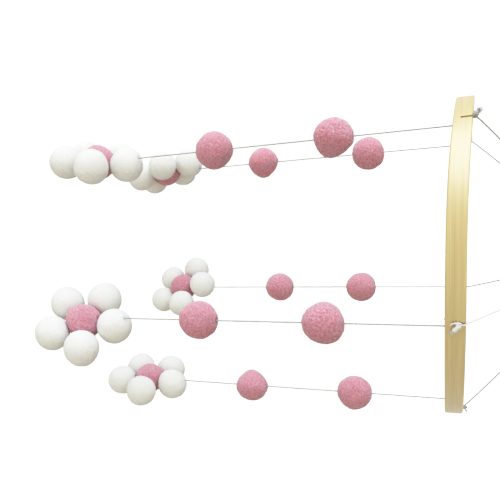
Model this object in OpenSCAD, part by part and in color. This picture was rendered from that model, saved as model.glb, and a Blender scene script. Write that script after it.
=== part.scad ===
// Hanging crib mobile: five drops of felt balls, each ending in a felt flower, under a bamboo hoop.
// The origin is the top of the hanging ring's eye, where a hook bears. +Z is up, and the mobile hangs below it.
// Lengths are in millimetres and angles in degrees.

/* [Hanging ring] */
// Inner diameter of the wooden ring that the hook goes through
eye_d = 20; // [16:1:40]
// Thickness of the ring's round section
ring_wire_d = 4.5; // [3:0.5:8]

/* [Cords] */
// Diameter of every cord
cord_d = 1; // [0.8:0.1:1.1]
// Depth of the gather knot below the top of the ring's eye
gather_depth = 42; // [40:1:100]
// Diameter of the gather knot
gather_knot_d = 6.4; // [5:0.2:6.4]
// Diameter of the knot in each cord above the hoop
hoop_knot_d = 3.2; // [2:0.2:3.4]
// Diameter of the knot that holds each flower up
stop_knot_d = 2.6; // [1.6:0.2:2.8]

/* [Hoop] */
// Depth of the middle of the hoop below the gather knot
hoop_depth = 91.5; // [90:0.5:93]
// Outer diameter of the hoop
hoop_d = 206; // [205:0.5:207]
// Height of the hoop's band
hoop_h = 10.5; // [9:0.5:12]
// Thickness of the hoop's band
hoop_t = 4.5; // [3:0.5:4.5]
// Rounding of the band's four edges
hoop_edge_r = 0.8; // [0.3:0.1:1.5]
// Width of each saw cut that a cord drops into
kerf_w = 1.2; // [1.2:0.1:2]
// Depth of each saw cut below the band's upper edge
kerf_depth = 6.5; // [6.5:0.5:8]

/* [Drops] */
// Angle of the first drop round the hoop, counted from the front
first_drop_angle = 22; // [0:1:71]
// How far round from its drop the first saw cut sits, with the suspension cord in it
first_cut_turn = -2.5; // [-4:0.5:0]
// Depth of the upper balls below the middle of the hoop
upper_ball_depth = 68; // [60:1:80]
// Depth of the lower balls below the middle of the hoop
lower_ball_depth = 147; // [140:1:160]
// Diameter of the felt balls on the cords
ball_d = 25; // [15:0.5:30]

/* [Flowers] */
// Depth of the flowers' centres below the middle of the hoop
flower_depth = 238; // [230:1:300]
// Diameter of the ball in the middle of a flower
centre_d = 25; // [22:0.5:26]
// Diameter of the balls that are the petals
petal_d = 24.4; // [20:0.2:25]
// Distance of a petal's middle from the flower's centre
petal_ring_r = 23.2; // [22.6:0.2:25]

/* [Hidden] */
$fn = 96;
drop_count = 5;
petal_count = 5;
drops = [1:drop_count];
petals = [1:petal_count];

// Small differences between the drops, as they are strung by hand: one value for each drop
upper_ball_offset = [2, -2, 5, -6, 1];
lower_ball_offset = [2, -2, -2, 0, 0];
flower_offset = [-2, -2, 5, 0, 0];
// How each flower hangs, in steps of 5: its turn about its cord, its lean, and its roll in its own plane
flower_turn = [-45, -75, -45, 90, -75];
flower_lean = [10, 5, -15, 15, 10];
flower_roll = [0, 10, 5, 0, 0];
// How far each flower's centre sits off its cord, along X and along Y
flower_shift = [[3, 0], [0, 0], [0, 2], [0, 0], [0, 0]];

// Clearances: a cord in a hole that slides or turns on it, felt against felt, and a joint between two cords
bore_clearance = 0.05;
felt_clearance = 0.05;
cord_joint_gap = 0.6;
// Clearance between the hitch and the ring it turns on
hitch_clearance = 0.15;
// Part of a cord's radius by which the two turns of the hitch, and the two strands, press into each other
strand_press = 0.04;

cord_r = cord_d / 2;
bore_r = cord_r + bore_clearance;
ring_r = (eye_d + ring_wire_d) / 2;
hitch_z = -eye_d - ring_wire_d / 2;
hitch_r = ring_wire_d / 2 + cord_r + hitch_clearance;
hitch_bottom_z = hitch_z - hitch_r - cord_r;
strand_x = cord_r * (1 - strand_press);
strand_top_z = hitch_bottom_z - 1;
gather_z = -gather_depth;
strand_bottom_z = gather_z + gather_knot_d / 2 + cord_joint_gap / 2;
hoop_z = gather_z - hoop_depth;
hoop_r = hoop_d / 2;
// The drop cords hang against the inside of the band
drop_r = 97.85;
drop_pitch = 360 / drop_count;
// Heights below are counted from the middle of the hoop
swing_z = -hoop_h / 2 - 0.6;
drop_top_end_z = -14;
sideways_z = drop_top_end_z - cord_joint_gap / 2;
// The stop knot sits in a pocket that opens at the bottom of the flower's centre
stop_knot_z = -5.5;
pocket_top_z = -4;
pocket_d = stop_knot_d + 0.4;

// A suspension cord's route, as distance from the axis and height above the middle of the hoop: from the gather
// knot to the knot above the band's edge, down the saw cut, and down the inside of the band
suspension_route = [
    [2.5, 89.4],
    [50, 50],
    [101, 7.6],
    [102.2, 6.4],
    [101.9, 4.6],
    [101.2, 2.5],
    [100.4, 0.9],
    [99.3, -0.2],
    [98.4, -1.1],
    [97.95, -2.2],
    [97.85, -3.6],
    [97.85, -5.55],
];
// The knot sits on the mouth of the saw cut, and is too wide to go down it
hoop_knot_place = [102.6, 7.1];

function petal_name(k, j) = str("petal_", k, "_", j);
function drop_angle(k) = first_drop_angle + (k - 1) * drop_pitch;

// Turns a shape drawn at the front of the hoop, with z counted from the hoop's middle, to the drop's own place
module at_drop(k) {
    translate([0, 0, hoop_z])
        rotate([0, 0, drop_angle(k)])
            children();
}

// The same for its saw cut
module at_cut(k) {
    translate([0, 0, hoop_z])
        rotate([0, 0, drop_angle(k) + (k == 1 ? first_cut_turn : 0)])
            children();
}

// Moves a shape onto the vertical line that a drop's cord hangs in
module on_cord(k, z) {
    at_drop(k)
        translate([0, -drop_r, z])
            children();
}

// The middle of a flower, beside its cord
module at_flower_centre(k) {
    a = drop_angle(k);
    z = hoop_z - flower_depth - flower_offset[k - 1];
    shift = flower_shift[k - 1];
    translate([drop_r * sin(a) + shift[0], -drop_r * cos(a) + shift[1], z])
        children();
}

// The flower's own place: its centre, turned, leaned and rolled. A petal lies along local +Z.
module at_flower(k) {
    at_flower_centre(k)
        rotate([0, 0, flower_turn[k - 1]])
            rotate([-flower_lean[k - 1], 0, 0])
                rotate([0, flower_roll[k - 1], 0])
                    children();
}

// The hole that a drop's cord runs in, through everything that is on it, down to the stop knot's pocket
module cord_bore(k) {
    length = flower_depth + flower_offset[k - 1] - pocket_top_z;
    on_cord(k, -length)
        cylinder(r = bore_r, h = length);
}

// A length of cord that hangs straight down between two heights
module hanging_cord(k, top_z, bottom_z) {
    on_cord(k, bottom_z)
        cylinder(r = cord_r, h = top_z - bottom_z);
}

// A tube of eight sides along points in the plane x = 0
module tube(path, radius) {
    sides = 8;
    last = len(path) - 1;
    side = [1, 0, 0];
    function heading(i) = path[min(i + 1, last)] - path[max(i - 1, 0)];
    function across(i) = cross(heading(i), side) / norm(heading(i));
    function on_rim(i, s) = path[i] + radius * (cos(360 * s / sides) * side + sin(360 * s / sides) * across(i));
    function vertex(i, s) = i * sides + s % sides;
    polyhedron(
        points = [for (i = [0:last], s = [0:sides - 1]) on_rim(i, s)],
        faces = concat(
            [[for (s = [0:sides - 1]) vertex(0, s)]],
            [[for (s = [sides - 1:-1:0]) vertex(last, s)]],
            [for (i = [0:last - 1], s = [0:sides - 1]) [vertex(i, s), vertex(i + 1, s + 1), vertex(i, s + 1)]],
            [for (i = [0:last - 1], s = [0:sides - 1]) [vertex(i, s), vertex(i + 1, s), vertex(i + 1, s + 1)]]
        )
    );
}

// Cross-section of the band: a rectangle with four round edges, standing on the height's middle
module band_section() {
    inner = hoop_r - hoop_t;
    translate([inner + hoop_edge_r, -hoop_h / 2])
        square([hoop_t - 2 * hoop_edge_r, hoop_h]);
    translate([inner, -hoop_h / 2 + hoop_edge_r])
        square([hoop_t, hoop_h - 2 * hoop_edge_r]);
    for (x = [inner + hoop_edge_r, hoop_r - hoop_edge_r], y = [-1, 1])
        translate([x, y * (hoop_h / 2 - hoop_edge_r)])
            circle(r = hoop_edge_r);
}

// Wooden ring that a hook goes through, standing in the XZ plane
module hanging_ring() {
    color("tan")
        translate([0, 0, -eye_d / 2])
            rotate([90, 0, 0])
                rotate_extrude()
                    translate([ring_r, 0])
                        circle(d = ring_wire_d);
}

// Two turns of cord round the bottom of the ring
module hanging_hitch() {
    color("ivory")
        for (x = [-strand_x, strand_x])
            translate([x, 0, hitch_z])
                rotate([0, 90, 0])
                    rotate_extrude()
                        translate([hitch_r, 0])
                            circle(r = cord_r);
}

// Two strands of cord side by side from the hitch to the gather knot
module hanging_strands() {
    color("ivory")
        for (x = [-strand_x, strand_x])
            translate([x, 0, strand_bottom_z])
                cylinder(r = cord_r, h = strand_top_z - strand_bottom_z);
}

// Knot that draws the five suspension cords together
module gather_knot() {
    color("ivory")
        translate([0, 0, gather_z])
            sphere(d = gather_knot_d);
}

// Bent bamboo band with a saw cut for each cord in its upper edge
module hoop() {
    color("burlywood")
        difference() {
            translate([0, 0, hoop_z])
                rotate_extrude()
                    band_section();
            for (k = drops)
                at_cut(k)
                    translate([-kerf_w / 2, -hoop_r - 1, hoop_h / 2 - kerf_depth])
                        cube([kerf_w, hoop_t + 2, kerf_depth + 1]);
        }
}

// Cord from the gather knot to the hoop, with its knot and its run down the saw cut and the band's inside
module suspension_cord(k) {
    color("ivory")
        at_cut(k) {
            tube([for (p = suspension_route) [0, -p[0], p[1]]], cord_r);
            translate([0, -hoop_knot_place[0], hoop_knot_place[1]])
                sphere(d = hoop_knot_d);
        }
}

// Short length of cord under the hoop, which swings in and out
module drop_cord_top(k) {
    color("ivory")
        hanging_cord(k, swing_z - cord_joint_gap / 2, drop_top_end_z);
}

// The rest of the drop's cord, which ends in the stop knot inside the flower
module drop_cord(k) {
    knot_z = stop_knot_z - flower_depth - flower_offset[k - 1];
    color("ivory") {
        hanging_cord(k, sideways_z - cord_joint_gap / 2, knot_z);
        on_cord(k, knot_z)
            sphere(d = stop_knot_d);
    }
}

// Felt ball threaded on a drop's cord
module felt_ball(k, depth) {
    color("rosybrown")
        difference() {
            on_cord(k, -depth)
                sphere(d = ball_d);
            cord_bore(k);
        }
}

// Felt ball in the middle of a flower, bored for the cord, with the stop knot's pocket below
module flower_centre(k) {
    z = -flower_depth - flower_offset[k - 1];
    color("rosybrown")
        difference() {
            at_flower_centre(k)
                sphere(d = centre_d);
            cord_bore(k);
            on_cord(k, z - centre_d)
                cylinder(d = pocket_d, h = centre_d + pocket_top_z);
        }
}

// White felt ball pressed against the flower's centre. The first petal is the one that the cord runs through.
module petal(k, j) {
    color("white")
        difference() {
            at_flower(k)
                rotate([0, (j - 1) * 360 / petal_count, 0])
                    translate([0, 0, petal_ring_r])
                        sphere(d = petal_d);
            at_flower(k)
                sphere(d = centre_d + 2 * felt_clearance);
            cord_bore(k);
        }
}

hanging_ring();
hanging_hitch();
hanging_strands();
gather_knot();
hoop();
for (k = drops) {
    suspension_cord(k);
    drop_cord_top(k);
    drop_cord(k);
    felt_ball(k, upper_ball_depth + upper_ball_offset[k - 1]);
    felt_ball(k, lower_ball_depth + lower_ball_offset[k - 1]);
    flower_centre(k);
    for (j = petals)
        petal(k, j);
}
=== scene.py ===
"""Crib mobile: its looks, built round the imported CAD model.

Lengths are in metres and angles in degrees. Each piece draws its random numbers from its own seed.
"""

import math

import bpy
import numpy as np
from mathutils import Matrix, Vector, kdtree


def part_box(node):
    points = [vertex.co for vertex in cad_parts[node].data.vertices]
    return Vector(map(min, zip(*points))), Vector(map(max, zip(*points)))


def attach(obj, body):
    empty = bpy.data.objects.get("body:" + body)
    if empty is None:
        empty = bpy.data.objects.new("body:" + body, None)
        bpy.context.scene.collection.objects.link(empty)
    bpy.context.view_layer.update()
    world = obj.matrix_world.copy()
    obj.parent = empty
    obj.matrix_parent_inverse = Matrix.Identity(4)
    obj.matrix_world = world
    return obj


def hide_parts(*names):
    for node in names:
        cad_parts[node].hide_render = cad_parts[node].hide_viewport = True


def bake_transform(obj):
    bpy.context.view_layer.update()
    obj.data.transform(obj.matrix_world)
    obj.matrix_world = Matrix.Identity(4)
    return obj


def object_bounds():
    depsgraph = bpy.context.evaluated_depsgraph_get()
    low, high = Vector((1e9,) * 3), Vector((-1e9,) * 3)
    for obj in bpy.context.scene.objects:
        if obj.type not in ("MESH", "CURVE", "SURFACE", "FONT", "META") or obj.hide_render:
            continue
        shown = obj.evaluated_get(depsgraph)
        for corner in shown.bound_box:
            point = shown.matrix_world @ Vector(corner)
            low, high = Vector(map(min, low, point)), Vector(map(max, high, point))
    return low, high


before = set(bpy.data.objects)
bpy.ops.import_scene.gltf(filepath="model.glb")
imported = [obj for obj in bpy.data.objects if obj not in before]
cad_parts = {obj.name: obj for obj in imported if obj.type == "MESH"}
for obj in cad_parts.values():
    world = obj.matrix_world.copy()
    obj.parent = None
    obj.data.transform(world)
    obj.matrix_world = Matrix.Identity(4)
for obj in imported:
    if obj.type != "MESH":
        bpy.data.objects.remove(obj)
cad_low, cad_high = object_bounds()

MM = 0.001
UP = np.array([0.0, 0.0, 1.0])

# Driving dimensions, as in the part
CORD_R = 0.5 * MM
BALL_R = 12.5 * MM
CENTRE_R = 12.5 * MM
PETAL_R = 12.2 * MM
PETAL_GAP = 0.05 * MM
DROP_R = 97.85 * MM
FIRST_DROP_ANGLE = 22
DROPS = range(1, 6)
PETALS = range(1, 6)

# The suspension cord's route, as in the part: distance from the axis and height above the hoop's middle
SUSPENSION_ROUTE = [
    (2.5 * MM, 89.4 * MM),
    (50 * MM, 50 * MM),
    (101 * MM, 7.6 * MM),
    (102.2 * MM, 6.4 * MM),
    (101.9 * MM, 4.6 * MM),
    (101.2 * MM, 2.5 * MM),
    (100.4 * MM, 0.9 * MM),
    (99.3 * MM, -0.2 * MM),
    (98.4 * MM, -1.1 * MM),
    (97.95 * MM, -2.2 * MM),
    (97.85 * MM, -3.6 * MM),
    (97.85 * MM, -5.55 * MM),
]
# Heights on a drop's cord, from the middle of the hoop: its top end behind the band, and where its two pieces
# join
CORD_TOP_Z = -3.0 * MM
CORD_JOIN_Z = -10 * MM
# How far the upper piece runs into the lower one
JOIN_OVERLAP = 0.3 * MM
# Height of the stop knot, from the middle of the flower's centre
STOP_KNOT_Z = -5.5 * MM
# Distance between the points along a cord
CORD_STEP = 0.3 * MM
# Stray fibres on each metre of cord
FUZZ_PER_METRE = 450

# The camera that took the photograph, which shows the mobile with its top to the right. Distances are in
# hoop radii from the middle of the hoop.
CAMERA_DISTANCE = 4.28
CAMERA_DROP = 0.025
CAMERA_DOWN = 24.6
CAMERA_TURN = 3.9
CAMERA_ROLL = 0.5
LENS_MM = 42.8
LENS_SHIFT = (0.144, 0.100)


# ---------------------------------------------------------------- places, from the frame

def box_centre(node):
    """The middle of a node's box."""
    low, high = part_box(node)
    return np.array((low + high) / 2)


def drop_axes(k):
    """The outward and the sideways direction at a drop's place on the hoop."""
    a = math.radians(FIRST_DROP_ANGLE + 72 * (k - 1))
    return np.array([math.sin(a), -math.cos(a), 0]), np.array([math.cos(a), math.sin(a), 0])


HOOP_CENTRE = box_centre("hoop")
HOOP_LOW, HOOP_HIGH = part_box("hoop")
HOOP_R = (HOOP_HIGH.x - HOOP_LOW.x) / 2
HOOP_H = HOOP_HIGH.z - HOOP_LOW.z
# How far round from its drop the first saw cut sits, as in the part
FIRST_CUT_TURN = -2.5
# The band is a little sprung and rises toward one side: its direction, how far it rises, and how sharply
SPRUNG_ANGLE = 275
SPRUNG_RISE = 5.2 * MM
SPRUNG_BEND = 2.5


def at_hoop(k, r, z):
    """The point at a drop's angle, at distance r from the axis and height z above the hoop's middle."""
    return HOOP_CENTRE + r * drop_axes(k)[0] + z * UP


def cut_axes(k):
    """The outward and the sideways direction at a saw cut."""
    turn = Matrix.Rotation(math.radians(FIRST_CUT_TURN if k == 1 else 0), 3, "Z")
    return [np.array(turn @ Vector(axis)) for axis in drop_axes(k)]


def at_cut(k, r, z, side=0.0):
    """The point at a saw cut's angle, as at_hoop gives it for a drop's, and side along the band."""
    outward, sideways = cut_axes(k)
    return HOOP_CENTRE + r * outward + side * sideways + z * UP


def band_rise(direction):
    """How far the sprung band has moved up, in a direction from the hoop's middle."""
    angle = math.atan2(direction[0], -direction[1]) - math.radians(SPRUNG_ANGLE)
    return SPRUNG_RISE * max(0.0, math.cos(angle)) ** SPRUNG_BEND * UP


# ---------------------------------------------------------------- meshes

def add_mesh(name, points, faces, material, place=(0, 0, 0), attributes=None):
    """A smooth mesh object at place, whose points are given round that place."""
    mesh = bpy.data.meshes.new(name)
    mesh.from_pydata([tuple(p) for p in points], [], faces)
    for key, values in (attributes or {}).items():
        values = np.asarray(values, np.float32)
        kind = "FLOAT" if values.ndim == 1 else "FLOAT_VECTOR"
        layer = mesh.attributes.new(key, kind, "POINT")
        layer.data.foreach_set("value" if values.ndim == 1 else "vector", values.ravel())
    mesh.polygons.foreach_set("use_smooth", [True] * len(mesh.polygons))
    mesh.materials.append(material)
    mesh.update()
    obj = bpy.data.objects.new(name, mesh)
    obj.location = place
    bpy.context.scene.collection.objects.link(obj)
    return obj


class Shape:
    """Points and faces gathered from several parts, with one attribute for each point."""

    def __init__(self):
        self.points, self.faces, self.values, self.count = [], [], [], 0

    def add(self, points, faces, values):
        self.points.append(points)
        self.values.append(values)
        self.faces += [tuple(int(i) + self.count for i in f) for f in faces]
        self.count += len(points)

    def made(self):
        return np.concatenate(self.points), self.faces, np.concatenate(self.values)


def smooth_route(route, step):
    """Points about step apart on a smooth curve through the route's points."""
    p = np.array(route, float)
    p = np.vstack([2 * p[0] - p[1], p, 2 * p[-1] - p[-2]])
    out = []
    for i in range(1, len(p) - 2):
        gap = np.linalg.norm(p[i + 1] - p[i])
        t = np.linspace(0, 1, max(2, math.ceil(gap / step) + 1))[:-1, None]
        # Tangents that don't overshoot where a long stretch meets a short one
        before = (p[i] - p[i - 1]) / max(np.linalg.norm(p[i] - p[i - 1]), 1e-9)
        ahead = (p[i + 1] - p[i]) / max(gap, 1e-9)
        after = (p[i + 2] - p[i + 1]) / max(np.linalg.norm(p[i + 2] - p[i + 1]), 1e-9)
        m0, m1 = (before + ahead) / 2 * gap, (ahead + after) / 2 * gap
        out.append((2 * t**3 - 3 * t**2 + 1) * p[i] + (t**3 - 2 * t**2 + t) * m0
                   + (-2 * t**3 + 3 * t**2) * p[i + 1] + (t**3 - t**2) * m1)
    return np.vstack([*out, p[-2:-1]])


def path_frames(path):
    """The direction of a path at each point, and two directions across it that don't twist along it."""
    ahead = np.gradient(path, axis=0)
    ahead /= np.linalg.norm(ahead, axis=1)[:, None]
    seed = np.array([1.0, 0, 0]) if abs(ahead[0, 0]) < 0.8 else np.array([0, 1.0, 0])
    side = np.zeros_like(path)
    for i, a in enumerate(ahead):
        seed = seed - (seed @ a) * a
        seed = seed / np.linalg.norm(seed)
        side[i] = seed
    return ahead, side, np.cross(ahead, side)


def along_path(path):
    """The distance along a path of each of its points."""
    return np.concatenate([[0], np.cumsum(np.linalg.norm(np.diff(path, axis=0), axis=1))])


def twisted_cord(path, radius, plies=3, pitch=3.0 * MM, per_ply=5, taper=0.0):
    """A cord of twisted plies along a path of close points, as points, faces and places.

    A point's place is where it lies in the untwisted cord, which the thread material uses. taper is the
    length over which the last end thins.
    """
    ahead, side, across = path_frames(path)
    along = along_path(path)
    sides = plies * per_ply
    turn = 2 * math.pi * along / pitch
    angle = np.arange(sides) / sides * 2 * math.pi
    # The section has one lobe for each ply
    lobe = 0.86 + 0.16 * np.abs(np.cos(plies * angle / 2))
    size = np.full(len(path), radius)
    if taper:
        size *= np.clip((along[-1] - along) / taper, 0.25, 1)
    total = angle[None, :] + turn[:, None]
    ring = (np.cos(total)[..., None] * side[:, None] + np.sin(total)[..., None] * across[:, None])
    points = path[:, None] + ring * (size[:, None] * lobe[None])[..., None]
    local = np.stack([np.broadcast_to(np.cos(angle) * radius, total.shape),
                      np.broadcast_to(np.sin(angle) * radius, total.shape),
                      np.broadcast_to(along[:, None], total.shape)], axis=2)
    n = len(path)
    faces = []
    for i in range(n - 1):
        a, b = i * sides, (i + 1) * sides
        faces += [(a + s, a + (s + 1) % sides, b + (s + 1) % sides, b + s) for s in range(sides)]
    # Each end is closed with a low cone
    ends = [path[0] - ahead[0] * radius * 0.4, path[-1] + ahead[-1] * size[-1] * 0.4]
    first, last = n * sides, n * sides + 1
    faces += [(first, (s + 1) % sides, s) for s in range(sides)]
    faces += [(last, (n - 1) * sides + s, (n - 1) * sides + (s + 1) % sides) for s in range(sides)]
    points = np.vstack([points.reshape(-1, 3), ends])
    local = np.vstack([local.reshape(-1, 3), [[0, 0, 0], [0, 0, along[-1]]]])
    return points, faces, local


def hairs(roots, directions, rng, length, radius, curl=0.35, joints=2):
    """Thin three-sided fibres that taper to a point, one from each root.

    Gives their points and faces, and the number of points in each.
    """
    n = len(roots)
    along = directions / np.linalg.norm(directions, axis=1)[:, None]
    pick = rng.normal(size=(n, 3))
    side = np.cross(along, pick)
    side /= np.linalg.norm(side, axis=1)[:, None]
    other = np.cross(along, side)
    size = length * rng.uniform(0.5, 1.0, n)
    bend = rng.normal(size=(n, 2)) * curl
    points = []
    for j in range(joints):
        t = j / joints
        middle = roots + along * (size * t)[:, None]
        middle = middle + (side * bend[:, :1] + other * bend[:, 1:]) * (size * t * t)[:, None]
        for s in range(3):
            a = 2 * math.pi * s / 3
            points.append(middle + (side * math.cos(a) + other * math.sin(a)) * radius * (1 - 0.6 * t))
    tip = roots + along * size[:, None] + (side * bend[:, :1] + other * bend[:, 1:]) * size[:, None]
    points.append(tip)
    each = len(points)
    points = np.stack(points, axis=1).reshape(-1, 3)
    pattern = [(2, 1, 0)]
    for j in range(joints - 1):
        a, b = 3 * j, 3 * j + 3
        pattern += [(a + s, a + (s + 1) % 3, b + (s + 1) % 3, b + s) for s in range(3)]
    a = 3 * (joints - 1)
    pattern += [(a + s, a + (s + 1) % 3, each - 1) for s in range(3)]
    faces = [tuple(i * each + v for v in f) for i in range(n) for f in pattern]
    return points, faces, each


# ---------------------------------------------------------------- materials

def new_material(name):
    material = bpy.data.materials.new(name)
    material.use_nodes = True
    nodes, links = material.node_tree.nodes, material.node_tree.links
    return material, nodes, links, nodes["Principled BSDF"]


def noise_of(nodes, links, vector, scale, detail, roughness=0.5):
    """Noise from 0 to 1 at a place."""
    node = nodes.new("ShaderNodeTexNoise")
    node.inputs["Scale"].default_value = scale
    node.inputs["Detail"].default_value = detail
    node.inputs["Roughness"].default_value = roughness
    links.new(vector, node.inputs["Vector"])
    return node.outputs["Fac"]


def maths(nodes, links, operation, a, b=None):
    """The result of a sum on numbers or sockets."""
    node = nodes.new("ShaderNodeMath")
    node.operation = operation
    for socket, value in zip(node.inputs, (a, b)):
        if value is None:
            continue
        if isinstance(value, (int, float)):
            socket.default_value = value
        else:
            links.new(value, socket)
    return node.outputs[0]


def ramp_of(nodes, links, value, low, high, colour_low, colour_high):
    """A colour that goes from colour_low at the value low to colour_high at the value high."""
    node = nodes.new("ShaderNodeMapRange")
    node.inputs["From Min"].default_value = low
    node.inputs["From Max"].default_value = high
    links.new(value, node.inputs["Value"])
    return mix_of(nodes, links, node.outputs["Result"], colour_low, colour_high)


def mix_of(nodes, links, share, a, b, blend="MIX"):
    """Colour a with a share of colour b."""
    node = nodes.new("ShaderNodeMix")
    node.data_type = "RGBA"
    node.blend_type = blend
    sockets = {"Factor": node.inputs[0], "A": node.inputs[6], "B": node.inputs[7]}
    for key, value in (("Factor", share), ("A", a), ("B", b)):
        if isinstance(value, (int, float)):
            sockets[key].default_value = value
        elif isinstance(value, tuple):
            sockets[key].default_value = (*value, 1)
        else:
            links.new(value, sockets[key])
    return node.outputs[2]


def bump_of(nodes, links, height, distance, strength):
    """A surface roughened by a height."""
    node = nodes.new("ShaderNodeBump")
    node.inputs["Strength"].default_value = strength
    node.inputs["Distance"].default_value = distance
    links.new(height, node.inputs["Height"])
    return node.outputs["Normal"]


def wool_material(name, shaded_pit, tip, sheen, mottle, spread):
    """Dense wool pile, in its pit colour in the pits and its tip colour on the tips, where the mesh's pile
    attribute is 1. The darker pits are painted shade, and the lighter tips painted light.

    mottle is how much the colour varies over the ball, and spread how far light of each colour goes in.
    """
    material, nodes, links, shader = new_material(name)
    pile = nodes.new("ShaderNodeAttribute")
    pile.attribute_name = "pile"
    place = nodes.new("ShaderNodeTexCoord").outputs["Object"]
    fine = noise_of(nodes, links, place, 2600, 4, 0.65)
    soft = noise_of(nodes, links, place, 260, 3, 0.5)
    pits = maths(nodes, links, "ADD", pile.outputs["Fac"], maths(nodes, links, "MULTIPLY", fine, 0.5))
    height = maths(nodes, links, "ADD", pits, maths(nodes, links, "MULTIPLY", soft, mottle))
    # Painted shade and light: the darker pit colour in the pits, the lighter tip colour on the tips, with
    # random mottle
    colour = ramp_of(nodes, links, height, 0.25, 1.35 + mottle / 2, shaded_pit, tip)
    links.new(colour, shader.inputs["Base Color"])
    shader.inputs["Roughness"].default_value = 0.95
    shader.inputs["Specular IOR Level"].default_value = 0.15
    shader.inputs["Sheen Weight"].default_value = sheen
    shader.inputs["Sheen Roughness"].default_value = 0.6
    shader.inputs["Sheen Tint"].default_value = (0.94, 0.95, 1, 1)
    shader.inputs["Subsurface Weight"].default_value = 0.9
    shader.inputs["Subsurface Radius"].default_value = spread
    shader.inputs["Subsurface Scale"].default_value = 8 * MM
    links.new(bump_of(nodes, links, fine, 0.4 * MM, 0.8), shader.inputs["Normal"])
    return material


def thread_material(name, shade, light):
    """Twisted cotton: streaks along the fibres, from the thread attribute, and a little fluff."""
    material, nodes, links, shader = new_material(name)
    thread = nodes.new("ShaderNodeAttribute")
    thread.attribute_name = "thread"
    stretch = nodes.new("ShaderNodeMapping")
    stretch.inputs["Scale"].default_value = (1, 1, 0.12)
    links.new(thread.outputs["Vector"], stretch.inputs["Vector"])
    streaks = noise_of(nodes, links, stretch.outputs["Vector"], 9000, 3, 0.6)
    place = nodes.new("ShaderNodeTexCoord").outputs["Object"]
    patches = noise_of(nodes, links, place, 120, 2, 0.5)
    value = maths(nodes, links, "ADD", maths(nodes, links, "MULTIPLY", streaks, 0.7),
                  maths(nodes, links, "MULTIPLY", patches, 0.3))
    links.new(ramp_of(nodes, links, value, 0.3, 0.7, shade, light), shader.inputs["Base Color"])
    shader.inputs["Roughness"].default_value = 0.9
    shader.inputs["Specular IOR Level"].default_value = 0.2
    shader.inputs["Sheen Weight"].default_value = 0.3
    links.new(bump_of(nodes, links, streaks, 0.08 * MM, 0.8), shader.inputs["Normal"])
    return material


def bamboo_material():
    """Bent bamboo: fibres along the band, bundles of darker fibres, and a lacquer's soft gloss."""
    material, nodes, links, shader = new_material("bamboo")
    place = nodes.new("ShaderNodeTexCoord").outputs["Object"]
    split = nodes.new("ShaderNodeSeparateXYZ")
    links.new(place, split.inputs[0])
    x, y, z = split.outputs
    square = maths(nodes, links, "ADD", maths(nodes, links, "MULTIPLY", x, x),
                   maths(nodes, links, "MULTIPLY", y, y))
    radius = maths(nodes, links, "SQRT", square)

    def grain(around, upward, inward, scale, detail):
        """Noise that is drawn out round the hoop: a smaller factor draws it out more."""
        joined = nodes.new("ShaderNodeCombineXYZ")
        links.new(maths(nodes, links, "MULTIPLY", x, around), joined.inputs[0])
        links.new(maths(nodes, links, "MULTIPLY", y, around), joined.inputs[1])
        lift = maths(nodes, links, "MULTIPLY", radius, inward)
        rise = maths(nodes, links, "MULTIPLY", z, upward)
        links.new(maths(nodes, links, "ADD", rise, lift), joined.inputs[2])
        return noise_of(nodes, links, joined.outputs[0], scale, detail, 0.55)

    broad = grain(0.03, 1, 0.9, 420, 2)
    fine = grain(0.012, 1, 1.1, 2600, 4)
    tone = grain(0.12, 0.3, 0.2, 90, 3)
    colour = ramp_of(nodes, links, broad, 0.3, 0.7, (0.58, 0.41, 0.125), (0.66, 0.52, 0.165))
    streak = ramp_of(nodes, links, fine, 0.35, 0.62, (0.72, 0.66, 0.58), (1, 1, 1))
    colour = mix_of(nodes, links, 0.55, colour, streak, "MULTIPLY")
    patch = ramp_of(nodes, links, tone, 0.35, 0.65, (0.88, 0.86, 0.80), (1, 1, 1))
    colour = mix_of(nodes, links, 0.6, colour, patch, "MULTIPLY")
    links.new(colour, shader.inputs["Base Color"])
    rough = nodes.new("ShaderNodeMapRange")
    rough.inputs["To Min"].default_value = 0.42
    rough.inputs["To Max"].default_value = 0.60
    links.new(fine, rough.inputs["Value"])
    links.new(rough.outputs[0], shader.inputs["Roughness"])
    shader.inputs["Specular IOR Level"].default_value = 0.5
    shader.inputs["Coat Weight"].default_value = 1.0
    shader.inputs["Coat Roughness"].default_value = 0.42
    shader.inputs["Coat IOR"].default_value = 2.3
    links.new(bump_of(nodes, links, fine, 0.12 * MM, 0.5), shader.inputs["Normal"])
    return material


def ring_material():
    """Turned pale wood with its grain along X."""
    material, nodes, links, shader = new_material("ring_wood")
    place = nodes.new("ShaderNodeTexCoord").outputs["Object"]
    stretch = nodes.new("ShaderNodeMapping")
    stretch.inputs["Scale"].default_value = (0.12, 1, 1)
    links.new(place, stretch.inputs["Vector"])
    broad = noise_of(nodes, links, stretch.outputs[0], 420, 2, 0.5)
    fine = noise_of(nodes, links, stretch.outputs[0], 3200, 4, 0.6)
    colour = ramp_of(nodes, links, broad, 0.3, 0.7, (0.58, 0.38, 0.20), (0.70, 0.50, 0.29))
    pores = ramp_of(nodes, links, fine, 0.36, 0.5, (0.7, 0.62, 0.52), (1, 1, 1))
    links.new(mix_of(nodes, links, 0.6, colour, pores, "MULTIPLY"), shader.inputs["Base Color"])
    shader.inputs["Roughness"].default_value = 0.5
    shader.inputs["Coat Weight"].default_value = 0.2
    shader.inputs["Coat Roughness"].default_value = 0.3
    links.new(bump_of(nodes, links, fine, 0.08 * MM, 0.5), shader.inputs["Normal"])
    return material


# Each wool's pit colour is darker as painted shade, and its tip colour lighter as painted light
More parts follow.
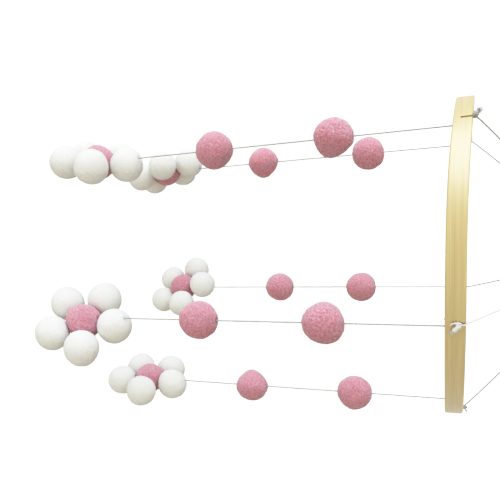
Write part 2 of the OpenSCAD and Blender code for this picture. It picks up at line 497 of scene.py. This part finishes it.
PINK = wool_material("pink_wool", shaded_pit=(0.58, 0.24, 0.285), tip=(0.745, 0.485, 0.585), sheen=0.12,
                     mottle=0.2, spread=(1.0, 0.12, 0.12))
WHITE = wool_material("white_wool", shaded_pit=(0.82, 0.815, 0.79), tip=(0.92, 0.92, 0.90), sheen=0.1,
                      mottle=0.1, spread=(1.0, 0.98, 0.85))
# Two copies of the white cotton thread: a grey one with the cords' shade painted in, and a near-white one
# with painted light, for the brightly lit first suspension cord and its knot
SHADED_THREAD = thread_material("shaded_cotton_thread", shade=(0.40, 0.40, 0.395), light=(0.60, 0.60, 0.595))
LIT_THREAD = thread_material("lit_cotton_thread", shade=(0.80, 0.79, 0.77), light=(0.95, 0.94, 0.92))
BAMBOO = bamboo_material()
RING_WOOD = ring_material()


# ---------------------------------------------------------------- camera

def add_camera():
    """The photograph's camera."""
    down, turn, roll = (math.radians(a) for a in (CAMERA_DOWN, CAMERA_TURN, CAMERA_ROLL))
    ahead = Vector((math.sin(turn) * math.cos(down), math.cos(turn) * math.cos(down), -math.sin(down)))
    right = ahead.cross(Vector(UP)).normalized()
    up = right.cross(ahead)
    rolled_right = right * math.cos(roll) + up * math.sin(roll)
    rolled_up = up * math.cos(roll) - right * math.sin(roll)
    data = bpy.data.cameras.new("camera")
    data.lens = LENS_MM
    data.shift_x, data.shift_y = LENS_SHIFT
    data.clip_start = 0.01
    camera = bpy.data.objects.new("camera", data)
    # The picture is the upright view turned a quarter turn clockwise: up is to its right
    camera.matrix_world = Matrix((rolled_up, -rolled_right, -ahead)).transposed().to_4x4()
    camera.location = Vector(HOOP_CENTRE) - Vector((0, CAMERA_DISTANCE * HOOP_R, CAMERA_DROP * HOOP_R))
    bpy.context.scene.collection.objects.link(camera)
    bpy.context.scene.camera = camera


add_camera()


# ---------------------------------------------------------------- cords

def cord_fuzz(shape, path, rng):
    """Short stray fibres along a cord."""
    count = int(along_path(path)[-1] * FUZZ_PER_METRE)
    at = rng.integers(1, len(path) - 1, count)
    ahead = path_frames(path)[0][at]
    out = rng.normal(size=(count, 3))
    out -= (out * ahead).sum(1)[:, None] * ahead
    out /= np.linalg.norm(out, axis=1)[:, None]
    lean = ahead * rng.choice([-1, 1], count)[:, None] * rng.uniform(0.4, 1.6, count)[:, None]
    roots = path[at] + out * CORD_R * 0.8
    points, faces, each = hairs(roots, out + lean, rng, length=1.6 * MM, radius=0.03 * MM)
    shape.add(points, faces, np.repeat(path[at], each, axis=0))


def add_cord(name, path, seed, material=SHADED_THREAD):
    """A cord along a path, as a mesh object."""
    shape = Shape()
    shape.add(*twisted_cord(path, CORD_R))
    cord_fuzz(shape, path, np.random.default_rng(seed))
    points, faces, values = shape.made()
    return add_mesh(name, points, faces, material, attributes={"thread": values})


def suspension_cord(k):
    """The cord from the gather knot over the band's edge, which rides the hoop."""
    route = [at_cut(k, r, z) for r, z in SUSPENSION_ROUTE]
    path = smooth_route(route, CORD_STEP)
    # It follows the sprung band, and is back in its place at the gather knot
    share = along_path(path) / along_path(path)[-1]
    path += np.clip(share / 0.88, 0, 1)[:, None] ** 3 * band_rise(cut_axes(k)[0])
    # The first cord is in the near-white copy of the thread, with painted light
    piece = add_cord(f"suspension_{k}", path, 100 + k, LIT_THREAD if k == 1 else SHADED_THREAD)
    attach(piece, "hoop")
    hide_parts(f"suspension_cord_{k}")


def even_steps(start, end):
    """Points along a straight stretch of cord."""
    return np.linspace(start, end, max(2, math.ceil(np.linalg.norm(end - start) / CORD_STEP) + 1))


def drop_cord(k):
    """The cord of a drop, in two straight pieces."""
    def hang(z):
        return at_hoop(k, DROP_R, z)

    knot = hang(box_centre(f"flower_centre_{k}")[2] - HOOP_CENTRE[2] + STOP_KNOT_Z)
    top_path = even_steps(hang(CORD_TOP_Z) + band_rise(drop_axes(k)[0]), hang(CORD_JOIN_Z - JOIN_OVERLAP))
    top = add_cord(f"drop_top_{k}", top_path, 200 + k)
    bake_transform(top)
    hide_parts(f"drop_cord_top_{k}")
    path = even_steps(hang(CORD_JOIN_Z), knot)
    piece = add_cord(f"drop_{k}", path, 300 + k)
    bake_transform(piece)
    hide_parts(f"drop_cord_{k}")


# ---------------------------------------------------------------- knots and frayed ends

def knot_rings(ring_r, tube_r, count):
    """A closed trefoil knot round the Z axis: its points, and for each the way out of the ring's tube.

    The knot winds round a ring of radius ring_r whose tube has the radius tube_r.
    """
    t = np.linspace(0, 2 * math.pi, count)
    reach = ring_r + tube_r * np.cos(3 * t)
    points = np.stack([reach * np.cos(2 * t), reach * np.sin(2 * t), tube_r * np.sin(3 * t)], axis=1)
    out = np.stack([np.cos(3 * t) * np.cos(2 * t), np.cos(3 * t) * np.sin(2 * t), np.sin(3 * t)], axis=1)
    return points, out


def turned(points, axis, roll=0.0):
    """The points with their Z axis laid along axis."""
    turn = Vector(axis).to_track_quat("Z", "Y") @ Matrix.Rotation(roll, 3, "Z").to_quaternion()
    return points @ np.array(turn.to_matrix()).T


def add_knot(shape, centre, axis, ring_r, tube_r, strand_r, strands=1, bundle_r=0, roll=0.0):
    """A tight knot of one or more strands, which lie round a bundle's middle at bundle_r from it."""
    line, out = knot_rings(ring_r, tube_r, 150)
    ahead = np.gradient(line, axis=0)
    ahead /= np.linalg.norm(ahead, axis=1)[:, None]
    across = np.cross(ahead, out)
    twist = np.linspace(0, 2 * math.pi, len(line))
    for i in range(strands):
        turn = (twist + 2 * math.pi * i / strands)[:, None]
        strand = line + bundle_r * (out * np.cos(turn) + across * np.sin(turn))
        shape.add(*twisted_cord(centre + turned(strand, axis, roll), strand_r))


def add_fray(shape, root, toward, rng, count, length, spread, thickness):
    """The loose fibres of a cord's end, which fan out by spread. thickness is how far apart they start."""
    toward = np.array(toward, float) / np.linalg.norm(toward)
    roots = (root + rng.normal(size=(count, 3)) * thickness
             + np.outer(rng.uniform(0, 0.35, count) * length, toward))
    lean = toward + rng.normal(size=(count, 3)) * spread
    points, faces, each = hairs(roots, lean, rng, length, radius=0.07 * MM, curl=0.3, joints=4)
    shape.add(points, faces, np.repeat(roots, each, axis=0))


def add_tail(shape, route, rng, count, length, spread, thickness):
    """A short end of cord along a route, frayed at its far end."""
    path = smooth_route(route, CORD_STEP)
    shape.add(*twisted_cord(path, CORD_R, taper=1.0 * MM))
    add_fray(shape, path[-4], path[-1] - path[-6], rng, count, length, spread, thickness)


def add_tuft(shape, route, rng, radius, count):
    """A cord's end that has opened into a soft bundle, wider than the cord, with loose fibres all round."""
    path = smooth_route(route, CORD_STEP)
    # The bundle sags a little below the route that its fibres grow from
    bundle = path - 0.25 * radius * UP
    shape.add(*twisted_cord(bundle, radius, plies=7, pitch=14 * MM, per_ply=4, taper=1.2 * radius))
    ahead = (path[-1] - path[0]) / np.linalg.norm(path[-1] - path[0])
    roots = path[rng.integers(0, len(path), count)] + rng.normal(size=(count, 3)) * radius * 0.45
    lean = ahead + rng.normal(size=(count, 3)) * 0.35
    points, faces, each = hairs(roots, lean, rng, length=2.0 * MM, radius=0.05 * MM, curl=0.4, joints=4)
    shape.add(points, faces, np.repeat(roots, each, axis=0))


def finish_thread(shape, name, body, nodes=(), material=SHADED_THREAD):
    """Makes a knot or a tied piece of cord, which rides a body, if it has one, and replaces its nodes."""
    points, faces, values = shape.made()
    piece = add_mesh(name, points, faces, material, attributes={"thread": values})
    if body:
        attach(piece, body)
        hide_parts(*nodes)
    return piece


def hoop_knot(k):
    """The knot at the mouth of a saw cut, with its frayed tail. Each one lies its own way."""
    rng = np.random.default_rng(700 + k)
    outward, sideways = cut_axes(k)
    shape = Shape()

    def place(r, z, side=0.0):
        return at_cut(k, r * MM, z * MM, side * MM) + band_rise(outward)

    if k == 1:
        # This knot has slipped over the edge, and its two ends lie on the outer face
        over = [place(101.2, 7.3), place(102.8, 6.3, 0.1), place(103.7, 5.0, 0.5),
                place(103.8, 3.4, 0.9), place(103.9, 1.6, -0.3)]
        add_tail(shape, over, rng, count=10, length=1.0 * MM, spread=0.2, thickness=0.1 * MM)
        add_knot(shape, place(104.1, 1.6, 0.5), outward, 0.75 * MM, 0.42 * MM, CORD_R)
        arc = [place(104.2, 1.4, -0.4), place(104.2, 0.0, -0.5), place(104.0, -1.6, 0.1),
               place(103.8, -2.8, 1.2)]
        add_tail(shape, arc, rng, count=14, length=1.0 * MM, spread=0.25, thickness=0.15 * MM)
        soft = [place(104.3, 2.3, 1.0), place(104.4, 1.1, 2.3), place(104.4, -0.2, 3.6),
                place(104.2, -1.5, 4.7)]
        add_tuft(shape, soft, rng, radius=1.25 * MM, count=260)
        # This knot is in the near-white copy of the thread, with painted light
        return finish_thread(shape, f"hoop_knot_{k}", "hoop", material=LIT_THREAD)
    centre = place(102.8, 6.2 if k == 5 else 7.1)
    add_knot(shape, centre, sideways + 0.4 * UP, 0.8 * MM, 0.45 * MM, 0.48 * MM, roll=0.7 * k)
    if k == 5:
        # This one ends in a wide tuft
        toward = 0.55 * outward - 0.5 * sideways + 0.55 * UP
        soft = [centre + toward * reach * MM for reach in (0.5, 1.7, 3.0, 4.2)]
        add_tuft(shape, soft, rng, radius=1.7 * MM, count=340)
        return finish_thread(shape, f"hoop_knot_{k}", "hoop")
    toward = 0.9 * outward + rng.uniform(-0.8, 0.8) * sideways + 0.35 * UP
    tail = [centre + toward * reach * MM for reach in (0, 1.2, 2.2)]
    add_tail(shape, tail, rng, count=50, length=1.8 * MM, spread=0.3, thickness=0.25 * MM)
    return finish_thread(shape, f"hoop_knot_{k}", "hoop")


def gather_knot():
    """The knot that draws the five suspension cords together."""
    rng = np.random.default_rng(750)
    shape = Shape()
    centre = box_centre("gather_knot")
    add_knot(shape, centre, (0.25, -1, 0.2), 1.45 * MM, 0.85 * MM, 0.44 * MM, strands=4, bundle_r=0.62 * MM)
    for k in DROPS:
        # Each cord leaves the knot from within
        start = centre + 0.6 * MM * cut_axes(k)[0]
        end = at_cut(k, *SUSPENSION_ROUTE[0])
        way = at_cut(k, *SUSPENSION_ROUTE[1]) - end
        shape.add(*twisted_cord(smooth_route([start, end, end + way * 0.03], CORD_STEP), 0.96 * CORD_R))
    add_fray(shape, centre + 1.6 * MM * UP, (0.8, -0.5, 0.5), rng, count=40, length=3.2 * MM, spread=0.25,
             thickness=0.3 * MM)
    finish_thread(shape, "gathering_knot", "hoop", ["gather_knot"])


# Half of the loop that hangs the mobile, from its strand up over the ring's wire and down to the bar in
# front, as distances from the middle of the wire, in millimetres. The other half is its mirror image.
LOOP_ROUTE = [
    (0.48, 0.0, -17.4),
    (0.48, 0.0, -10.0),
    (0.50, -0.3, -5.6),
    (0.52, -1.4, -3.6),
    (0.55, -2.55, -1.6),
    (0.62, -2.75, 0.3),
    (0.75, -2.0, 2.0),
    (0.92, -0.1, 2.8),
    (1.15, 1.9, 2.05),
    (1.40, 2.75, 0.1),
    (1.60, 2.0, -2.1),
    (1.72, 0.1, -3.2),
    (1.62, -1.9, -3.6),
    (0.95, -2.9, -3.9),
]
# The middle of the bar
LOOP_BAR = (0, -3.1, -3.95)


def hanging_loop():
    """The doubled cord that is hitched round the ring."""
    wire = box_centre("hanging_hitch")
    half = [np.array(p) * MM for p in LOOP_ROUTE]
    other = [p * [-1, 1, 1] for p in reversed(half)]
    path = smooth_route([wire + p for p in [*half, np.array(LOOP_BAR) * MM, *other]], 0.25 * MM)
    shape = Shape()
    shape.add(*twisted_cord(path, CORD_R))
    cord_fuzz(shape, path, np.random.default_rng(760))
    piece = finish_thread(shape, "hanging_loop", None)
    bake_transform(piece)
    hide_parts("hanging_hitch", "hanging_strands")
    return piece


# ---------------------------------------------------------------- cords, in place

hoop_knots = {k: hoop_knot(k) for k in DROPS}
loop = hanging_loop()
for k in DROPS:
    suspension_cord(k)
    drop_cord(k)
gather_knot()


# ---------------------------------------------------------------- hoop and ring

# The band's section, how far its wavy face keeps inside the part's, and its saw cuts
BAND_THICK = 4.5 * MM
BAND_EDGE_R = 0.95 * MM
BAND_INSET = 0.12 * MM
CUT_WIDTH = 1.2 * MM
CUT_DEPTH = 6.5 * MM


def cut_out(obj, cutters):
    """Takes the cutters' shapes out of obj."""
    for cutter in cutters:
        cut = obj.modifiers.new("cut", "BOOLEAN")
        cut.object, cut.operation, cut.solver = cutter, "DIFFERENCE", "EXACT"
    bpy.context.view_layer.update()
    made = bpy.data.meshes.new_from_object(obj.evaluated_get(bpy.context.evaluated_depsgraph_get()))
    obj.modifiers.clear()
    obj.data = made
    for cutter in cutters:
        bpy.data.objects.remove(cutter)


def band_outline(thick, high, edge_r, per_corner=5):
    """The band's section with round edges, as distance outward and height from its own middle."""
    outline = []
    for cx, cz, start in ((1, 1, 0), (-1, 1, 90), (-1, -1, 180), (1, -1, 270)):
        for i in range(per_corner + 1):
            a = math.radians(start + 90 * i / per_corner)
            outline.append((cx * (thick / 2 - edge_r) + edge_r * math.cos(a),
                            cz * (high / 2 - edge_r) + edge_r * math.sin(a)))
        # Then the straight side to the next corner
        step = {0: (-1, 0), 90: (0, -1), 180: (1, 0), 270: (0, 1)}[start]
        run = thick - 2 * edge_r if step[0] else high - 2 * edge_r
        parts = 3 if step[0] else 8
        last = outline[-1]
        outline += [(last[0] + step[0] * run * i / parts, last[1] + step[1] * run * i / parts)
                    for i in range(1, parts)]
    return np.array(outline)


def ring_mesh(name, profile, stations, place, material):
    """A closed ring from profile(angle), which gives the section's distances from the axis and heights."""
    angles = np.arange(stations) / stations * 2 * math.pi
    points = []
    for a in angles:
        section = profile(a)
        points.append(np.stack([section[:, 0] * math.cos(a), section[:, 0] * math.sin(a), section[:, 1]],
                               axis=1))
    n = len(points[0])
    faces = []
    for i in range(stations):
        a, b = i * n, (i + 1) % stations * n
        faces += [(a + s, b + s, b + (s + 1) % n, a + (s + 1) % n) for s in range(n)]
    return add_mesh(name, np.concatenate(points), faces, material, place)


def bamboo_hoop():
    """A strip of bamboo bent round and glued, a little uneven, with five saw cuts."""
    wave = np.random.default_rng(800).uniform(0, 2 * math.pi, 6)
    outline = band_outline(BAND_THICK, HOOP_H, BAND_EDGE_R)

    def profile(a):
        waves = math.sin(3 * a + wave[0]) + math.sin(5 * a + wave[1]) + 0.5 * math.sin(11 * a + wave[2])
        bulge = 0.10 * MM * waves
        thin = 1 - 0.03 * (1 + math.sin(4 * a + wave[3])) / 2
        tall = 1 - 0.012 * (1 + math.sin(7 * a + wave[4])) / 2
        tilt = 0.015 * math.sin(2 * a + wave[5])
        section = outline * [thin, tall]
        r = HOOP_R - BAND_THICK / 2 - BAND_INSET + bulge * 0.4 + section[:, 0] + tilt * section[:, 1]
        return np.stack([r, section[:, 1] + band_rise((math.cos(a), math.sin(a)))[2]], axis=1)

    hoop = ring_mesh("bamboo_hoop", profile, 540, HOOP_CENTRE, BAMBOO)
    cutters = []
    for k in DROPS:
        outward, sideways = cut_axes(k)
        top, floor = HOOP_H / 2 + 1 * MM, HOOP_H / 2 - CUT_DEPTH
        # One cut was sawn twice
        left, right = (-0.6 * MM, 1.2 * MM) if k == 5 else (-CUT_WIDTH / 2, CUT_WIDTH / 2)
        corners = []
        for r in (HOOP_R - BAND_THICK - 2 * MM, HOOP_R + 2 * MM):
            for side, z in ((left, floor), (right, floor), (right, top), (left, top)):
                corners.append(r * outward + side * sideways + z * UP + band_rise(outward))
        faces = [(3, 2, 1, 0), (4, 5, 6, 7), (1, 5, 4, 0), (2, 6, 5, 1), (3, 7, 6, 2), (0, 4, 7, 3)]
        cutters.append(add_mesh(f"cutter_{k}", corners, faces, BAMBOO, HOOP_CENTRE))
    cut_out(hoop, cutters)
    hoop.data.set_sharp_from_angle(angle=math.radians(35))
    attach(hoop, "hoop")
    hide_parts("hoop")


def wooden_ring():
    """A small turned ring, slightly flattened inside and out."""
    low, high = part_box("hanging_ring")
    wire_r = (high.y - low.y) / 2
    ring_r = (high.x - low.x) / 2 - wire_r
    turn = np.arange(40) / 40 * 2 * math.pi
    flat = np.sign(np.cos(turn)) * np.abs(np.cos(turn)) ** 0.92 * wire_r
    rise = np.sign(np.sin(turn)) * np.abs(np.sin(turn)) ** 0.96 * wire_r

    def profile(angle):
        return np.stack([ring_r + flat, rise], axis=1)

    ring = ring_mesh("wooden_ring", profile, 160, box_centre("hanging_ring"), RING_WOOD)
    ring.rotation_euler = (math.radians(90), 0, 0)
    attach(ring, "ring")
    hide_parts("hanging_ring")


bamboo_hoop()
wooden_ring()


# ---------------------------------------------------------------- wool balls

def unit_ball(subdivisions):
    """The points and triangles of an even ball of radius 1."""
    bpy.ops.mesh.primitive_ico_sphere_add(subdivisions=subdivisions, radius=1)
    obj = bpy.context.object
    points = np.array([v.co for v in obj.data.vertices], float)
    faces = [tuple(p.vertices) for p in obj.data.polygons]
    bpy.data.meshes.remove(obj.data)
    return points / np.linalg.norm(points, axis=1)[:, None], faces


BALL_POINTS, BALL_FACES = unit_ball(6)
# Where the cord goes in, the wool is drawn in, and round the hole its colour is darkened as painted shade in
# the dent
HOLE_DENT = 1.5 * MM
HOLE_R = 1.3 * MM


def even_directions(count, rng, jitter):
    """Directions spread evenly over a ball, a little out of place."""
    i = np.arange(count) + 0.5
    z = 1 - 2 * i / count
    turn = i * math.pi * (1 + math.sqrt(5))
    flat = np.sqrt(1 - z * z)
    points = np.stack([flat * np.cos(turn), flat * np.sin(turn), z], axis=1)
    points += rng.normal(size=points.shape) * jitter * math.sqrt(4 * math.pi / count)
    return points / np.linalg.norm(points, axis=1)[:, None]


def random_field(points, wavelength, rng, terms=24):
    """A smooth random value for each point, mostly between -1 and 1."""
    waves = rng.normal(size=(terms, 3))
    waves *= (2 * math.pi / wavelength) / np.linalg.norm(waves, axis=1)[:, None]
    phases = rng.uniform(0, 2 * math.pi, terms)
    return np.cos(points @ waves.T + phases).sum(1) / math.sqrt(terms)


def nearest_distance(points, sites):
    """How far each point is from the nearest site."""
    tree = kdtree.KDTree(len(sites))
    for i, s in enumerate(sites):
        tree.insert(s, i)
    tree.balance()
    return np.array([tree.find(p)[2] for p in points])


def narrowed(points, radius, direction, amount):
    """A ball's points, narrowed more and more toward one direction."""
    toward = np.array(direction, float)
    toward /= np.linalg.norm(toward)
    reach = points @ toward
    narrow = 1 - amount * np.clip(reach / radius, 0, 1) ** 1.2
    return reach[:, None] * toward + (points - reach[:, None] * toward) * narrow[:, None]


def press_out(points, middle, radius):
    """Moves the points that lie inside a ball out to its surface."""
    away = points - middle
    far = np.linalg.norm(away, axis=1)
    inside = far < radius
    points[inside] += away[inside] / far[inside, None] * (radius - far[inside])[:, None]


def wool_ball(name, centre, radius, material, seed, tuft, depth, lump, fuzz, holes=(), squeeze=None,
              press=None):
    """A ball of wool pile, as a mesh object.

    tuft is the size of a tuft, depth the depth of the pits between the tufts, lump how far the ball is from
    round, and fuzz the number of loose fibres. Each hole is a direction in which the cord goes in. squeeze is
    a direction and how much the ball narrows toward it. press is the centre and the radius of a ball that
    this one is pressed against.
    """
    rng = np.random.default_rng(seed)
    ball = BALL_POINTS
    sites = even_directions(int(4 * math.pi * radius**2 / tuft**2), rng, 0.22)
    gap = nearest_distance(ball, sites) * radius / tuft
    pile = np.clip(1 - (gap / 0.62) ** 2, 0, 1)
    pile *= 0.75 + 0.25 * random_field(ball * radius, 2.2 * tuft, rng)
    size = radius - depth * (1 - pile)
    size += lump * random_field(ball * radius, 1.5 * radius, rng, 10)
    size += 0.35 * lump * random_field(ball * radius, 0.55 * radius, rng, 16)
    for hole in holes:
        away = np.linalg.norm(ball - hole, axis=1) * radius
        size -= HOLE_DENT * np.exp(-((away / HOLE_DENT) ** 2))
        # Painted shade: the pile value, which sets the colour, falls round the hole
        pile = pile * (1 - 0.8 * np.exp(-((away / HOLE_R) ** 2)))
    points = ball * size[:, None]
    if squeeze is not None:
        points = narrowed(points, radius, *squeeze)
    normal = points / np.linalg.norm(points, axis=1)[:, None]
    pick = rng.choice(len(points), fuzz, replace=False)
    lean = normal[pick] + rng.normal(size=(fuzz, 3)) * 0.45
    roots = points[pick] - normal[pick] * 0.2 * MM
    strands, strand_faces, each = hairs(roots, lean, rng, length=1.3 * MM, radius=0.035 * MM, curl=0.5)
    shape = Shape()
    shape.add(points, BALL_FACES, pile)
    # Painted shade and light: each loose fibre's colour is darker at its root and lighter at its tip
    shape.add(strands, strand_faces, np.tile(np.linspace(0.6, 1.0, each), fuzz))
    points, faces, values = shape.made()
    if press is not None:
        press_out(points, press[0] - np.array(centre), press[1])
    return add_mesh(name, points, faces, material, centre, {"pile": values})


# How single balls differ in shape: the direction that a ball narrows toward, and how much
BALL_SHAPES = {
    "upper_ball_5": ((0.9, 0, -0.25), 0.28),
    "lower_ball_4": ((1, 0, 0), 0.22),
    "lower_ball_2": ((-1, 0, 0.1), 0.25),
}


def cord_holes(k, centre, radius, ends):
    """The directions, seen from a ball's centre, in which the drop's cord goes into the ball."""
    line = at_hoop(k, DROP_R, 0) - centre
    beside = np.array([line[0], line[1], 0]) / radius
    height = math.sqrt(1 - beside @ beside)
    return [beside + end * height * UP for end in ends]


def add_ball(k, node, body, radius, seed):
    """A pink ball with the cord through it."""
    centre = box_centre(node)
    piece = wool_ball(f"wool_{node}", centre, radius, PINK, seed, tuft=1.2 * MM, depth=0.35 * MM,
                      lump=0.30 * MM, fuzz=1500, holes=cord_holes(k, centre, radius, (1, -1)),
                      squeeze=BALL_SHAPES.get(node))
    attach(piece, body)
    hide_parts(node)


def petal_centre(k, j, flower):
    """The middle of a petal's ball. The node's box doesn't say, because the centre has cut into it."""
    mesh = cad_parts[f"petal_{k}_{j}"].data
    corners = np.array([v.co for v in mesh.vertices], float)
    middle, total = np.zeros(3), 0.0
    for face in mesh.polygons:
        middle += np.array(face.center) * face.area
        total += face.area
    toward = middle / total - flower
    toward /= np.linalg.norm(toward)
    reach = np.linalg.norm(corners - flower, axis=1).max()
    return flower + toward * (reach - PETAL_R)


def add_flower(k):
    """A pink centre and five petals pressed against it. The cord goes into the first petal from above."""
    flower = box_centre(f"flower_centre_{k}")
    add_ball(k, f"flower_centre_{k}", f"flower_{k}", CENTRE_R, 500 + k)
    for j in PETALS:
        middle = petal_centre(k, j, flower)
        holes = cord_holes(k, middle, PETAL_R, (1,)) if j == 1 else []
        piece = wool_ball(f"wool_petal_{k}_{j}", middle, PETAL_R, WHITE, 600 + 10 * k + j, tuft=1.3 * MM,
                          depth=0.16 * MM, lump=0.22 * MM, fuzz=900, holes=holes,
                          press=(flower, CENTRE_R + PETAL_GAP))
        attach(piece, f"flower_{k}")
        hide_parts(f"petal_{k}_{j}")


for k in DROPS:
    add_ball(k, f"upper_ball_{k}", f"upper_ball_{k}", BALL_R, 400 + k)
    add_ball(k, f"lower_ball_{k}", f"lower_ball_{k}", BALL_R, 450 + k)
    add_flower(k)


# ---------------------------------------------------------------- stage

# Half the floor's side, and how far below the mobile it lies
FLOOR_SIZE = 8.0
FLOOR_DEPTH = 0.9
# The key light: its place from the object's middle, its sides, power and colour
KEY_PLACE = (-1.58, -0.52, 0.3)
KEY_SIZE = (1.5, 1.8)
KEY_POWER = 23
KEY_COLOUR = (0.87, 0.97, 1.03)
FLOOR_LIGHT_POWER = 2.6
# The room's light from in front and from behind, and its colour on the key's side and across from it
FILL_FRONT = (0.86, 0.86, 0.86)
FILL_BACK = (0.20, 0.20, 0.20)
TINT_NEAR = (1.0, 1.0, 1.02)
TINT_FAR = (1.0, 0.95, 0.76)
# What the lacquer mirrors: the white backdrop is all round
MIRRORED = (0.85, 0.85, 0.86)
# Just bright enough to come out white
BACKGROUND = 1.5


def add_floor():
    """A pale floor far below. It sheds no light on the object, and isn't mirrored in it."""
    material, nodes, links, shader = new_material("floor")
    place = nodes.new("ShaderNodeTexCoord").outputs["Object"]
    speckle = noise_of(nodes, links, place, 3, 2)
    links.new(ramp_of(nodes, links, speckle, 0.3, 0.7, (0.93, 0.93, 0.93), (0.96, 0.96, 0.96)),
              shader.inputs["Base Color"])
    shader.inputs["Roughness"].default_value = 0.9
    corners = [(x * FLOOR_SIZE, y * FLOOR_SIZE, 0) for x, y in ((-1, -1), (1, -1), (1, 1), (-1, 1))]
    floor = add_mesh("floor", corners, [(0, 1, 2, 3)], material, (0, 0, cad_low.z - FLOOR_DEPTH))
    floor.visible_diffuse = False
    floor.visible_glossy = False
    floor.visible_shadow = False
    return floor


def add_key_light():
    """A wide soft light on one side, which looks at the object's middle."""
    data = bpy.data.lights.new("key", "AREA")
    data.shape = "RECTANGLE"
    data.size, data.size_y = KEY_SIZE
    data.energy = KEY_POWER
    data.color = KEY_COLOUR
    light = bpy.data.objects.new("key", data)
    middle = Vector(((cad_low.x + cad_high.x) / 2, 0, (cad_low.z + cad_high.z) / 2))
    light.location = middle + Vector(KEY_PLACE)
    light.rotation_euler = (-Vector(KEY_PLACE)).to_track_quat("-Z", "Y").to_euler()
    bpy.context.scene.collection.objects.link(light)


def add_floor_light(floor):
    """A lamp that lights the floor and nothing else."""
    data = bpy.data.lights.new("floor_light", "SUN")
    data.energy = FLOOR_LIGHT_POWER
    lamp = bpy.data.objects.new("floor_light", data)
    bpy.context.scene.collection.objects.link(lamp)
    lit = bpy.data.collections.new("lit_by_floor_light")
    lit.objects.link(floor)
    lamp.light_linking.receiver_collection = lit


def add_world():
    """A white room, brighter in front, and warmer across from the key."""
    world = bpy.data.worlds.new("studio")
    world.use_nodes = True
    nodes, links = world.node_tree.nodes, world.node_tree.links
    seen, fill = nodes["Background"], nodes.new("ShaderNodeBackground")
    seen.inputs["Color"].default_value = (1, 1, 1, 1)
    seen.inputs["Strength"].default_value = BACKGROUND
    fill.inputs["Strength"].default_value = 1.0
    split = nodes.new("ShaderNodeSeparateXYZ")
    links.new(nodes.new("ShaderNodeTexCoord").outputs["Generated"], split.inputs[0])
    across = maths(nodes, links, "MULTIPLY", split.outputs["X"], 0.4)
    back = maths(nodes, links, "ADD", across, split.outputs["Y"])
    level = ramp_of(nodes, links, back, -1.0, 1.0, FILL_FRONT, FILL_BACK)
    tint = ramp_of(nodes, links, split.outputs["X"], -1.0, 1.0, TINT_NEAR, TINT_FAR)
    room = mix_of(nodes, links, 1.0, level, tint, "MULTIPLY")
    kind = nodes.new("ShaderNodeLightPath").outputs
    links.new(mix_of(nodes, links, kind["Is Glossy Ray"], room, MIRRORED), fill.inputs["Color"])
    mix = nodes.new("ShaderNodeMixShader")
    links.new(kind["Is Camera Ray"], mix.inputs["Fac"])
    links.new(fill.outputs[0], mix.inputs[1])
    links.new(seen.outputs[0], mix.inputs[2])
    links.new(mix.outputs[0], nodes["World Output"].inputs["Surface"])
    bpy.context.scene.world = world


def set_film():
    """Develops the picture with a little contrast and soft highlights."""
    view = bpy.context.scene.view_settings
    view.view_transform = "Standard"
    view.use_curve_mapping = True
    view.curve_mapping.clip_max_x = 2.0
    curve = view.curve_mapping.curves[3]
    # Light in and light out, both scene-linear
    curve.points[1].location = (1.25, 1.0)
    for light_in, light_out in ((0.05, 0.04), (0.214, 0.214), (0.448, 0.51), (0.70, 0.78), (1.0, 0.95)):
        curve.points.new(light_in, light_out)
    view.curve_mapping.update()


add_world()
add_key_light()
add_floor_light(add_floor())
set_film()
